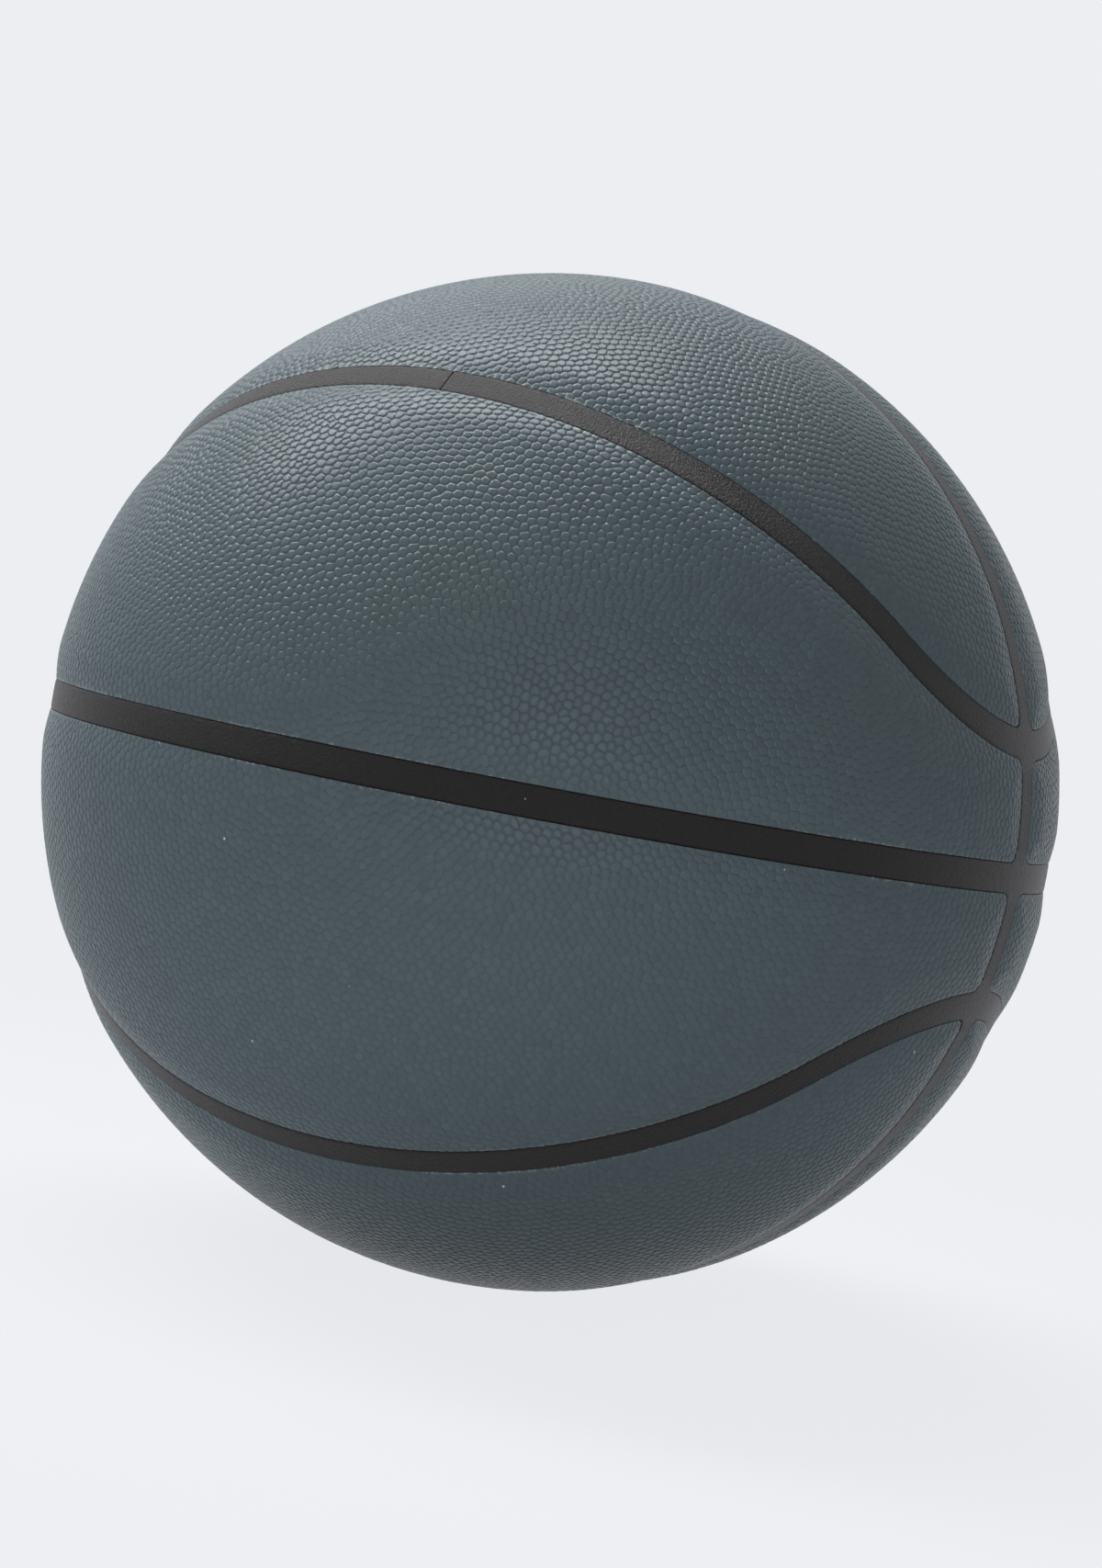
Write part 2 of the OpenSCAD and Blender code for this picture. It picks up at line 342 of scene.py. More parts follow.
class Surface:
    """A material in the making, with short ways to add the nodes that the finishes share.

    Attributes:
        material: the material.
        tree: its node tree.
        place: its Object coordinates.
    """

    def __init__(self, name: str) -> None:
        """Makes an empty node material of that name."""
        self.material = bpy.data.materials.new(name)
        self.material.use_nodes = True
        self.tree = self.material.node_tree
        self.tree.nodes.clear()
        self.place = add(self.tree, "TexCoord").outputs["Object"]

    def stored(self, name: str) -> Socket:
        """The number stored under a name at the mesh's points."""
        return add(self.tree, "Attribute", attribute_name=name).outputs["Fac"]

    def noise(self, size: float, detail: float, rough: float = 0.5) -> Node:
        """Noise whose features are size mm wide."""
        return add(self.tree, "TexNoise", {"Vector": self.place, "Scale": 1.0 / (size * MM),
                                           "Detail": detail, "Roughness": rough})

    def cells(self, size: float) -> Node:
        """Cells of size mm."""
        return add(self.tree, "TexVoronoi", {"Vector": self.place, "Scale": 1.0 / (size * MM)})

    def calc(self, operation: str, *values: Any) -> Node:
        """Arithmetic on one or two values."""
        return add(self.tree, "Math", dict(enumerate(values)), operation=operation)

    def span(self, value: Any, begin: float, end: float, low: float = 0.0,
             high: float = 1.0) -> Node:
        """A value that runs from begin to end, carried over to low to high."""
        return add(self.tree, "MapRange", {"Value": value, "From Min": begin, "From Max": end,
                                           "To Min": low, "To Max": high})

    def blend(self, share: Any, first: Any, second: Any) -> Node:
        """The first colour at share 0 and the second at share 1."""
        return add(self.tree, "Mix", {0: share, 6: first, 7: second}, data_type="RGBA")

    def toned(self, body: Node, level: Node) -> Node:
        """A colour made lighter or darker by a factor."""
        return add(self.tree, "HueSaturation", {"Value": level, "Color": body})

    def dusted(self, body: Node, dust: str, cell: float, odds: float, wide: float) -> Node:
        """Lays rare pale specks on a colour: round ones, in the few cells whose number is high.

        Args:
            body: the colour under the specks.
            dust: colour of the specks.
            cell: width of a cell that may hold one, in mm.
            odds: number from 0 to 1 above which a cell holds one.
            wide: radius of the widest speck, in cells.

        Returns:
            The specked colour.
        """
        spots = self.cells(cell)
        pick = add(self.tree, "SeparateColor", {0: spots.outputs["Color"]})
        return self.blend(self.calc("LESS_THAN", spots, self.span(pick, odds, 1.0, 0.0, wide)),
                          body, dust)

    def bump(self, height: Any, strength: float, deep: float) -> Node:
        """Bumps that are deep mm deep."""
        return add(self.tree, "Bump", {"Height": height, "Strength": strength,
                                       "Distance": deep * MM})

    def finish(self, colour: Node, rough: Any, ior: float, bump: Node, specular: float = 0.5,
               sheen: float = 0.0) -> Material:
        """Closes the tree with a shader, and gives the material back."""
        shader = add(self.tree, "BsdfPrincipled", {
            "Base Color": colour, "Roughness": rough, "IOR": ior, "Specular IOR Level": specular,
            "Sheen Weight": sheen, "Normal": bump})
        add(self.tree, "OutputMaterial", {0: shader})
        return self.material


@dataclass(frozen=True)
class PebbledLeather:
    """Composite leather: polyurethane embossed with pebbles on a microfibre cloth.

    It gives the eye a satin slate surface, whose pebbles catch the light on one side and
    shade their neighbours on the other. Its grooves are made a touch darker with painted
    shade, and its pale fibrous cut edge carries a painted highlight where the top light falls.
    Pattern sizes are in mm: cloud, grain, fibres and frayed stretches, and dust.
    """
    top: str = "#4a5659"
    # Colour at the groove bottoms, a touch darker than the top: painted shade
    groove: str = "#495559"
    cool: str = "#475663"
    warm: str = "#4b5854"
    fibre: str = "#b4b9b9"
    dust: str = "#b9bdbd"
    roughness: float = 0.28
    cloud: float = 55.0
    grain: float = 0.4
    fibres: float = 0.9
    stretches: float = 35.0
    specks: float = 2.6

    def make(self) -> Material:
        """Builds the material."""
        leather = Surface("composite_leather_embossed")
        relief, tone, rim = map(leather.stored, ("relief", "tone", "rim"))
        cloud, grain = leather.noise(self.cloud, 2.0), leather.noise(self.grain, 3.0)
        fray, stretch = leather.noise(self.fibres, 4.0), leather.noise(self.stretches, 1.0)
        hue = leather.blend(cloud, self.cool, self.warm)
        body = leather.blend(0.5, self.top, hue)
        # Painted shade: the grooves are blended towards the darker groove colour
        shade = leather.blend(relief, self.groove, body)
        toned = leather.toned(shade, leather.span(tone, 0.0, 1.0, 0.9, 1.1))
        loose = leather.span(stretch, 0.4, 0.65, 0.66, 0.45)
        frayed = leather.span(leather.calc("SUBTRACT", fray, loose), 0.0, 0.12)
        # Pale cut edge: its fibres, brightened near the top by the painted highlight that the rim
        # carries
        cut = leather.blend(leather.calc("MULTIPLY", rim, frayed), toned, self.fibre)
        gloss = leather.span(grain, 0.0, 1.0, self.roughness - 0.06, self.roughness + 0.1)
        bump = leather.bump(grain, 0.4, 0.06)
        specked = leather.dusted(cut, self.dust, self.specks, 0.985, 0.14)
        return leather.finish(specked, gloss, 1.5, bump, specular=0.12)


@dataclass(frozen=True)
class GrainedRubber:
    """Black channel rubber, rolled with a fine grain.

    It gives the eye a near-black matt band, that turns warm grey and speckled where a
    broad light glances off its grain. Its crease along the cover is coloured darker still:
    painted shade.
    """
    top: str = "#191818"
    # Darker colour of the crease and the lower corners: painted shade
    edge: str = "#0e0e0f"
    dust: str = "#8f8f8c"
    grain: float = 0.6
    specks: float = 2.0
    roughness: float = 0.34

    def make(self) -> Material:
        """Builds the material."""
        rubber = Surface("channel_rubber_grained")
        rim = rubber.stored("rim")
        grain = rubber.noise(self.grain, 4.0, 0.65)
        lift = rubber.span(grain, 0.3, 0.7, 0.85, 1.15)
        # Painted shade: the crease darkens towards the darker edge colour
        body = rubber.toned(rubber.blend(rim, self.top, self.edge), lift)
        gloss = rubber.span(grain, 0.0, 1.0, self.roughness - 0.08, self.roughness + 0.1)
        bump = rubber.bump(grain, 0.9, 0.5)
        specked = rubber.dusted(body, self.dust, self.specks, 0.975, 0.13)
        return rubber.finish(specked, gloss, 1.5, bump, specular=0.16)


@dataclass(frozen=True)
class PlainRubber:
    """Moulded rubber, smooth from a polished mould, with faint mottling."""
    name: str
    colour: str
    bloom: str
    roughness: float
    grain: float
    mottle: float = 18.0

    def make(self) -> Material:
        """Builds the material."""
        rubber = Surface(self.name)
        grain, cloud = rubber.noise(self.grain, 4.0), rubber.noise(self.mottle, 3.0)
        body = rubber.blend(cloud, self.colour, self.bloom)
        gloss = rubber.span(cloud, 0.0, 1.0, self.roughness - 0.08, self.roughness + 0.08)
        return rubber.finish(body, gloss, 1.52, rubber.bump(grain, 0.3, 0.05))


@dataclass(frozen=True)
class ClosedCellFoam:
    """Closed-cell foam rubber, skived from a block, so that its cells lie open at the face.

    It gives the eye a dull grey surface peppered with small pores, darkened with painted shade.
    """
    colour: str = "#8d9196"
    # Colour of the pores' hollows: painted shade
    pore_shade: str = "#5f6368"
    cell: float = 0.7

    def make(self) -> Material:
        """Builds the material."""
        foam = Surface("foam_rubber_closed_cell")
        wall = foam.span(foam.cells(self.cell), 0.2, 0.5)
        # Painted shade: the hollows take the darker colour of the pores
        body = foam.blend(wall, self.pore_shade, self.colour)
        return foam.finish(body, 0.85, 1.5, foam.bump(wall, 0.6, 0.15))


@dataclass(frozen=True)
class WoundNylon:
    """Nylon thread wound on in flat bands and set in latex.

    It gives the eye fine parallel threads, off-white, with a soft silky sheen along them.
    """
    thread: str = "#d9d6c8"
    gap: str = "#97917c"
    pitch: float = 0.4
    fuzz: float = 1.5

    def make(self) -> Material:
        """Builds the material."""
        nylon = Surface("nylon_thread_wound")
        phase = nylon.calc("MULTIPLY", nylon.stored("lean"), 2 * math.pi / self.pitch)
        wave = nylon.calc("SINE", phase)
        ridge = nylon.span(wave, -1.0, 0.4)
        fuzz = nylon.noise(self.fuzz, 4.0)
        body = nylon.blend(ridge, self.gap, self.thread)
        toned = nylon.toned(body, nylon.span(fuzz, 0.0, 1.0, 0.85, 1.1))
        return nylon.finish(toned, 0.6, 1.53, nylon.bump(wave, 0.6, 0.1), sheen=0.3)


# ---------------------------------------------------------------------- cover panels

@dataclass
class CoverPanel:
    """One panel of pebbled leather, with every pebble in its mesh.

    Attributes:
        kind, fore, level: which panel it is.
        plan: where the channels run.
        material: the leather.
        seed: number that fixes its pebbles.
        hole: unit vector to the valve's hole, where the panel has it.
        pitch: distance from pebble to pebble.
        groove: depth of the grooves between pebbles.
        shoulder, flat: how far inside its outline a pebble's shoulder and its top begin.
        deepest: greatest share of the way to a pebble's middle that they go.
        slump, lip: depth of the shoulders, and of the outline's upper edge.
        near: least distance of a pebble's middle from the panel's outline.
        spare, loose: how far outside the outline points are kept, and still relaxed.
        jitter: greatest random move of a point, in pitches.
        tiny: corners of the grooves closer than this are made one.
        uneven: how far a pebble may stand higher or lower than the mean.
        spread: how widely the pebbles' tones vary.
        under: radius of the panel's inner face.
    """
    kind: PanelKind
    fore: Fore
    level: Level
    plan: SeamPlan
    material: Material
    seed: int
    hole: Array | None = None
    pitch: float = 2.2
    groove: float = 0.19
    shoulder: float = 0.2
    flat: float = 0.4
    deepest: float = 0.62
    slump: float = 0.02
    lip: float = 0.03
    near: float = 0.45
    spare: float = 6.0
    loose: float = 3.5
    jitter: float = 0.36
    tiny: float = 0.22
    uneven: float = 0.015
    spread: float = 0.16
    under: float = BALL_R - 1.4
    field: PanelField = field(init=False)

    def __post_init__(self) -> None:
        """Sets up the panel's outline."""
        self.field = PanelField(self.plan, self.kind, self.fore, self.level, self.hole)

    @property
    def name(self) -> str:
        """The CAD node that the panel stands for."""
        return f"{self.kind.value}_panel_{self.level.name.lower()}_{self.fore.name.lower()}"

    def triangles(self, p: Array) -> Array:
        """Delaunay triangles of points on the ball.

        The points are projected stereographically from the pole opposite the panel,
        which keeps circles circles, so the flat triangulation is the ball's own.

        Args:
            p: n x 3 unit vectors.

        Returns:
            m x 3 point numbers, counter-clockwise from outside.
        """
        out = unit(p.mean(axis=0))
        side = unit(np.cross(out, [0.0, 1.0, 0.3]))
        flat = np.stack([p @ side, p @ np.cross(out, side)], axis=1) / (1 + p @ out)[:, None]
        faces = np.array(delaunay_2d_cdt([tuple(c) for c in flat], [], [], 0, 1e-9, False)[2])
        a, b, c = (p[faces[:, i]] for i in range(3))
        turned = np.einsum("ij,ij->i", np.cross(b - a, c - a), a + b + c) < 0
        faces[turned] = faces[turned][:, ::-1]
        return faces

    @staticmethod
    def middles(p: Array, faces: Array) -> Array:
        """Circumcentres of the triangles on the ball: the directions of their normals."""
        a, b, c = (p[faces[:, i]] for i in range(3))
        return unit(np.cross(b - a, c - a))

    def scatter(self) -> Array:
        """Places one point per pebble.

        A spiral of points that share the ball's area evenly is turned at random, and each
        point is moved by up to the jitter. Points farther than spare outside the panel are
        dropped, and seven relaxing steps move each point inside the panel or less than loose
        outside it to the mean of its cell's corners.

        Returns:
            n x 3 unit vectors, some of them outside the panel.
        """
        rng = np.random.default_rng(self.seed)
        count = int(4 * math.pi * BALL_R ** 2 / (self.pitch ** 2 * math.sqrt(3) / 2))
        i = np.arange(count) + 0.5
        height = 1 - 2 * i / count
        turn = i * math.pi * (3 - math.sqrt(5))
        ring = np.sqrt(1 - height ** 2)
        p = np.stack([ring * np.cos(turn), ring * np.sin(turn), height], axis=1)
        p = p @ np.linalg.qr(rng.normal(size=(3, 3)))[0]
        p = unit(p + rng.uniform(-1, 1, p.shape) * (self.jitter * self.pitch / BALL_R))
        p = p[self.field.distance(p) > -self.spare]
        for _ in range(7):
            faces = self.triangles(p)
            corners = self.middles(p, faces)
            total, hits = np.zeros_like(p), np.zeros(len(p))
            for k in range(3):
                np.add.at(total, faces[:, k], corners)
                np.add.at(hits, faces[:, k], 1.0)
            free = self.field.distance(p) > -self.loose
            p[free] = unit(total[free] / hits[free, None])
        return p

    def cells(self) -> tuple[Array, Array, Array]:
        """Cuts the scattered points' cells to the panel.

        Points mirrored across the panel's outline make that outline a cell wall, and the
        corners on it are then moved exactly onto it.

        Returns:
            The middles of the pebbles, the triangles between them and their mirror
            images, and each triangle's corner of the grooves.
        """
        outside, least, mirrored = -2 * self.near, 0.25, 4.2
        p = self.scatter()
        d, slope = self.field.slope(p)
        cut = (d > outside) & (d < self.near)
        p[cut] = unit(p[cut] + slope[cut] * ((self.near - d[cut]) / BALL_R)[:, None])
        p = p[d > outside]
        d, slope = self.field.slope(p)
        p, d, slope = p[d > least], d[d > least], slope[d > least]
        close = d < mirrored
        every = np.vstack([p, unit(p[close] - slope[close] * (2 * d[close] / BALL_R)[:, None])])
        faces = self.triangles(every)
        faces = faces[(faces < len(p)).any(axis=1)]
        corner = self.middles(every, faces)
        outer = (faces >= len(p)).any(axis=1)
        for _ in range(4):
            corner[outer] = self.field.onto(corner[outer])
        return p, faces, corner

    def walls(self, p: Array, faces: Array, corner: Array, merged: Array) -> Array:
        """Finds the walls between cells, out of the triangles' half edges.

        Corners that all but coincide are made one in merged, and a wall between them
        falls away.

        Args:
            p: the middles of the pebbles.
            faces: the triangles.
            corner: their corners of the grooves.
            merged: each corner's own number, changed to that of the one it joins.

        Returns:
            For each wall its pebble, the point across it, and its first and last corner,
            in order round the pebble.
        """
        start, end = faces.ravel(), np.roll(faces, -1, axis=1).ravel()
        left = np.repeat(np.arange(len(faces)), 3)
        size = int(faces.max()) + 1
        key, back = start.astype(np.int64) * size + end, end.astype(np.int64) * size + start
        order = np.argsort(key)
        at = np.clip(np.searchsorted(key[order], back), 0, len(key) - 1)
        twin = np.where(key[order][at] == back, order[at], -1)
        keep = (start < len(p)) & (twin >= 0)
        start, end, left, right = start[keep], end[keep], left[keep], left[twin[keep]]
        short = np.linalg.norm(corner[left] - corner[right], axis=1) * BALL_R < self.tiny
        for _ in range(6):
            low = np.minimum(merged[left[short]], merged[right[short]])
            np.minimum.at(merged, left[short], low)
            np.minimum.at(merged, right[short], low)
            merged[:] = merged[merged]
        first, last = merged[right], merged[left]
        side, ahead = tangents(p)
        middle = corner[first] + corner[last]
        turn = np.arctan2(np.einsum("ij,ij->i", middle, ahead[start]),
                          np.einsum("ij,ij->i", middle, side[start]))
        order = np.lexsort((turn, start))
        order = order[(first != last)[order]]
        return np.stack([start, end, first, last])[:, order]

    def build(self) -> None:
        """Makes the panel.

        Each pebble is the cell of its point. Cell corners are shared and lie at the
        bottom of the grooves. A ring of shoulder points, one beside the middle of each
        wall, a ring of top points and the middle point rise from there, which rounds the
        pebble's outline and leaves it flat on top. A wall goes down from the panel's
        outline to a plain inner face.
        """
        rng = np.random.default_rng(self.seed + 100)
        p, faces, corner = self.cells()
        count = len(p)
        merged = np.arange(len(faces))
        start, end, first, last = self.walls(p, faces, corner, merged)
        walls = len(start)
        following = np.arange(1, walls + 1)
        ends = np.searchsorted(start, np.arange(count), side="right") - 1
        following[ends] = np.searchsorted(start, np.arange(count))

        # Points: groove corners, shoulders, tops, middles
        used, used_at = np.unique(np.concatenate([first, last]), return_inverse=True)
        a, b = used_at[:walls], used_at[walls:]
        grooves = corner[used]
        middle = unit(corner[first] + corner[last])
        centre = unit(np.stack([np.bincount(start, corner[first][:, k], count) for k in range(3)],
                               axis=1))
        gap = centre[start] - middle
        reach = np.linalg.norm(gap, axis=1) * BALL_R
        inner = [unit(middle + gap * np.minimum(inset / reach, self.deepest)[:, None])
                 for inset in (self.shoulder, self.flat)]
        rise = rng.uniform(-self.uneven, self.uneven, count)
        shade = rng.normal(0.5, self.spread, count).clip(0, 1)
        direction = np.vstack([grooves, *inner, centre])
        base = np.cumsum([0, len(grooves), walls, walls])
        level = np.zeros(len(grooves))
        depth = np.concatenate([level + self.groove, self.slump + rise[start], rise[start], rise])
        # Share of the top colour against the darker groove colour, as painted shade: 0 at groove
        # bottoms, 0.85 at shoulders, 1 on tops
        relief = np.concatenate([level, np.full(walls, 0.85), np.ones(walls + count)])
        tone = np.concatenate([level + 0.5, shade[start], shade[start], shade])
        mid1, top1 = base[1] + np.arange(walls), base[2] + np.arange(walls)
        mid2, top2 = mid1[following], top1[following]
        heart = base[3] + start
        edge = end >= count
        made = [(a[~edge], b[~edge], mid1[~edge]), (b, mid2, mid1), (mid1, mid2, top2),
                (mid1, top2, top1), (top1, top2, heart)]

        # The wall under the outline, whose upper edge rises with each pebble that it cuts
        radius = BALL_R - self.field.drop(direction) - depth
        on_rim = np.zeros(len(grooves), dtype=bool)
        on_rim[np.concatenate([a[edge], b[edge]])] = True
        radius[:len(grooves)][on_rim] += self.groove * 0.3
        crest = self.field.onto(middle[edge])
        crest_r = BALL_R - self.field.drop(crest) - self.lip + rise[start[edge]]
        em = len(direction) + np.arange(len(crest))
        foot = len(direction) + len(crest)
        low_of = np.full(len(grooves), -1)
        low_of[on_rim] = foot + np.arange(on_rim.sum())
        low_m = foot + on_rim.sum() + np.arange(len(crest))
        low_heart = foot + on_rim.sum() + len(crest)
        points = np.vstack([
            direction * radius[:, None], crest * crest_r[:, None],
            np.vstack([grooves[on_rim], crest, centre]) * self.under])
        ea, eb, es, top = a[edge], b[edge], start[edge], mid1[edge]
        la, lb = low_of[ea], low_of[eb]
        made += [(ea, em, top), (em, eb, top), (ea, la, em), (em, la, low_m), (em, low_m, eb),
                 (eb, low_m, lb), (low_m, la, low_heart + es), (lb, low_m, low_heart + es)]
        plain = faces[(faces < count).all(axis=1)]
        number = np.full(len(merged), -1)
        number[used] = np.arange(len(used))
        two = (faces < count).sum(axis=1) == 2
        trio, place = faces[two] + low_heart, number[merged[np.flatnonzero(two)]]
        made.append(tuple(plain[:, ::-1].T + low_heart))
        for k in range(3):
            pick = faces[two][:, k] >= count
            made.append((trio[pick, (k + 2) % 3], trio[pick, (k + 1) % 3], low_of[place[pick]]))

        # The rim is the cut edge, which frays most round one stretch of the upper loop, and is
        # paler still there: a painted highlight of the top light
        rim = np.zeros(len(points))
        rim[:len(grooves)][on_rim] = 1.0
        rim[mid1] = np.where(edge, 0.75, 0.0)
        rim[len(direction):low_heart] = 1.0
        away = arc_to(unit(points), np.array(self.plan.frayed))
        extra = len(points) - len(direction)
        values = {"relief": np.pad(relief, (0, extra)),
                  "tone": np.pad(tone, (0, extra), constant_values=0.5),
                  "rim": rim * (0.3 + 0.7 * np.exp(-(away / self.plan.fray_and_highlight_reach) ** 2))}
        make_piece(f"leather_{self.name}", points, np.vstack([np.stack(t, axis=1) for t in made]),
                   self.name, self.material, values, sharp=70)


# ---------------------------------------------------------------------- channel strips

@dataclass
class ChannelStrip:
    """One strip of channel rubber: a profile carried along a path on the ball.

    Attributes:
        name: CAD node that the strip stands for.
        path: n x 3 unit vectors along the strip's middle.
        half: n half widths in mm.
        crease: n shares, from 0 where the strip's side meets another strip to 1 where it
            meets the cover.
        material: the rubber.
        floor: radius of the strip's top.
        base: radius of its underside.
        crown: how far the top's middle stands above its sides.
    """
    name: str
    path: Array
    half: Array
    crease: Array
    material: Material
    floor: float = BALL_R - 0.95
    base: float = BALL_R - 3.05
    crown: float = 0.03

    def build(self) -> None:
        """Makes the strip.

        A point at offset v from the path is the path swung by v / R towards the side. The
        top is slightly crowned, and its last part sinks by up to 0.3 mm in a quarter
        round, which leaves the dark crease along the cover. That crease and the strip's lower
        corners are also coloured darker: painted shade.
        """
        path, n = self.path, len(self.path)
        side = unit(np.cross(path, np.gradient(path, axis=0)))
        inset = np.array([0.0, 0.08, 0.22, 0.42, 0.8, 1.6])
        sink = np.array([0.3, 0.17, 0.08, 0.03, 0.0, 0.0])
        half = self.half[:, None]
        lower = half - np.minimum(inset[None, :], half * 0.8)
        offset = np.concatenate([-lower, np.zeros((n, 1)), lower[:, ::-1]], axis=1)
        profile = np.concatenate([sink, [0.0], sink[::-1]])
        rise = self.crown * (1 - (offset / half) ** 2)
        radius = self.floor - profile * self.crease[:, None] + rise
        offset = np.concatenate([offset, half, -half], axis=1)
        radius = np.concatenate([radius, np.full((n, 2), self.base)], axis=1)
        points = swing((offset / BALL_R)[..., None], path[:, None], side[:, None])
        points = points * radius[..., None]
        m = offset.shape[1]
        grid = np.arange(n * m).reshape(n, m)
        ring = np.arange(1, m - 1)
        zero = np.zeros(m - 2, int)
        faces = np.vstack([ring_faces(grid[:-1], grid[1:]),
                           np.stack([zero, ring, ring + 1], axis=1),
                           np.stack([zero, ring + 1, ring], axis=1) + (n - 1) * m])
        # Painted shade: the sunken crease and the lower corners are marked for the darker colour
        dark = np.concatenate([profile > 0.05, [True, True]]) * self.crease[:, None]
        points = points.reshape(-1, 3)
        make_piece(f"rubber_{self.name}", points, turned_out(points, faces),
                   self.name, self.material, {"rim": dark.ravel()}, sharp=50)


@dataclass
class ChannelStrips:
    """All nine strips, laid along the channels of the plan.

    Attributes:
        plan: where the channels run.
        material: the rubber.
        show: half the width of a strip.
        joint: gap between the two ends of a strip that runs all the way round.
        step: distance between two places of the profile.
        hair: distance small enough to count as touching.
    """
    plan: SeamPlan
    material: Material
    show: float = 3.5
    joint: float = 0.3
    step: float = 1.2
    hair: float = 0.01

    @property
    def pad(self) -> float:
        """Half the length of the pad that a crossing adds to a strip."""
        return self.show + self.plan.corner

    def stations(self, length: float, crossings: list[float]) -> Array:
        """Distances along a path at which its profile is placed.

        Args:
            length: length of the path.
            crossings: distances at which another channel crosses.

        Returns:
            The sorted distances: even steps, and closer ones round each corner.
        """
        even = np.linspace(0, length, int(length / self.step) + 1)
        arc = np.linspace(0, math.pi / 2, 9)
        fine = self.pad - self.plan.corner * np.cos(arc)
        fine = np.concatenate([[self.show - self.hair], fine])
        extra = [np.concatenate([c - fine, c + fine]) for c in crossings]
        inside = [np.abs(even - c) > self.pad for c in crossings]
        core = [c + np.linspace(-self.show + 0.5, self.show - 0.5, 6) for c in crossings]
        even = even[np.all(inside, axis=0)] if crossings else even
        return np.unique(np.round(np.concatenate([even, *extra, *core]), 5))

    def widths(self, along: Array, crossings: list[float]) -> Array:
        """Half width at each distance: wider where a crossing's rounded corners stand off.

        Args:
            along: distances along the path.
            crossings: distances at which another channel crosses.

        Returns:
            Half widths in mm.
        """
        half = np.full(len(along), self.show)
        r = self.plan.corner
        for c in crossings:
            s = np.abs(along - c)
            curve = self.pad - np.sqrt(np.clip(r ** 2 - (self.pad - s) ** 2, 0, None))
            half = np.where(s < self.show, self.pad, np.where(s < self.pad, curve, half))
        return half

    def creases(self, along: Array, crossings: list[float]) -> Array:
        """How much the sides sink at each distance: not at all across another channel."""
        away = np.min([np.abs(along - c) for c in crossings], axis=0)
        return np.clip((away - self.show) / 0.25, 0, 1)

    def lay(self, name: str, path: Array, along: Array, crossings: list[float]) -> None:
        """Makes one closed strip along a path."""
        ChannelStrip(name, path, self.widths(along, crossings), self.creases(along, crossings),
                     self.material).build()

    def build(self) -> None:
        """Makes the nine strips."""
        self.middle()
        for level in Level:
            self.loop(level)
        self.cross()

    def middle(self) -> None:
        """The strip round the middle, open at its joint at the rear."""
        whole = 2 * math.pi * BALL_R
        crossings = [whole * 0.25, whole * 0.75]
        along = self.stations(whole - self.joint, crossings) + self.joint / 2
        turn = along / BALL_R + math.pi
        self.lay("middle_strip", swing(turn[:, None], X, Y), along, crossings)

    def loop(self, level: Level) -> None:
        """One loop: half a great-circle arc, a bend, a whole arc, a bend and half an arc.

        It starts at its joint, at the front for the upper loop and at the rear for the
        lower one.

        Args:
            level: which loop it is.
        """
        lat, polar, turn = self.plan.bend
        tilt = math.radians(self.plan.tilt)
        centre, down = swing(lat, Y, Z), swing(lat, -Z, Y)
        touch = swing(polar, centre, swing(turn, down, X))
        straight = BALL_R * math.atan2(touch[1], math.hypot(touch[0], touch[2]))
        bend = 2 * turn * math.sin(polar) * BALL_R
        whole = 4 * straight + 2 * bend
        crossings = [straight + bend / 2, 3 * straight + bend * 1.5]
        along = self.stations(whole - self.joint, crossings) + self.joint / 2
        quarter = np.where(along > whole / 2, whole - along, along)
        far = quarter > straight + bend / 2
        s = np.where(far, 2 * straight + bend - quarter, quarter)
        flat = swing((s / BALL_R)[:, None], swing(tilt, X, Z), Y)
        round_by = turn - (s - straight) / (BALL_R * math.sin(polar))
        curved = swing(polar, centre, swing(round_by[:, None], down, X))
        path = np.where((s > straight)[:, None], curved, flat)
        path[far, 0] *= -1
        path[along > whole / 2, 1] *= -1
        path *= np.array([level.value, 1.0, level.value])
        self.lay(f"loop_strip_{level.name.lower()}", path, along, crossings)

    def cross(self) -> None:
        """The six stretches of the cross channel between the pads."""
        low = math.radians(self.plan.low)
        gap = (self.pad - self.hair) / BALL_R
        spans = {"top": (low, math.pi - low), "bottom": (-math.pi + low, -low),
                 "upper_right": (0, low), "upper_left": (math.pi - low, math.pi),
                 "lower_right": (-low, 0), "lower_left": (math.pi, math.pi + low)}
        for where, (begin, stop) in spans.items():
            begin, stop = begin + gap, stop - gap
            turn = np.linspace(begin, stop, max(12, int((stop - begin) * BALL_R / self.step)))
            ChannelStrip(f"cross_strip_{where}", swing(turn[:, None], Y, Z),
                         np.full(len(turn), self.show), np.ones(len(turn)),
                         self.material).build()


# ---------------------------------------------------------------------- valve and inner layers

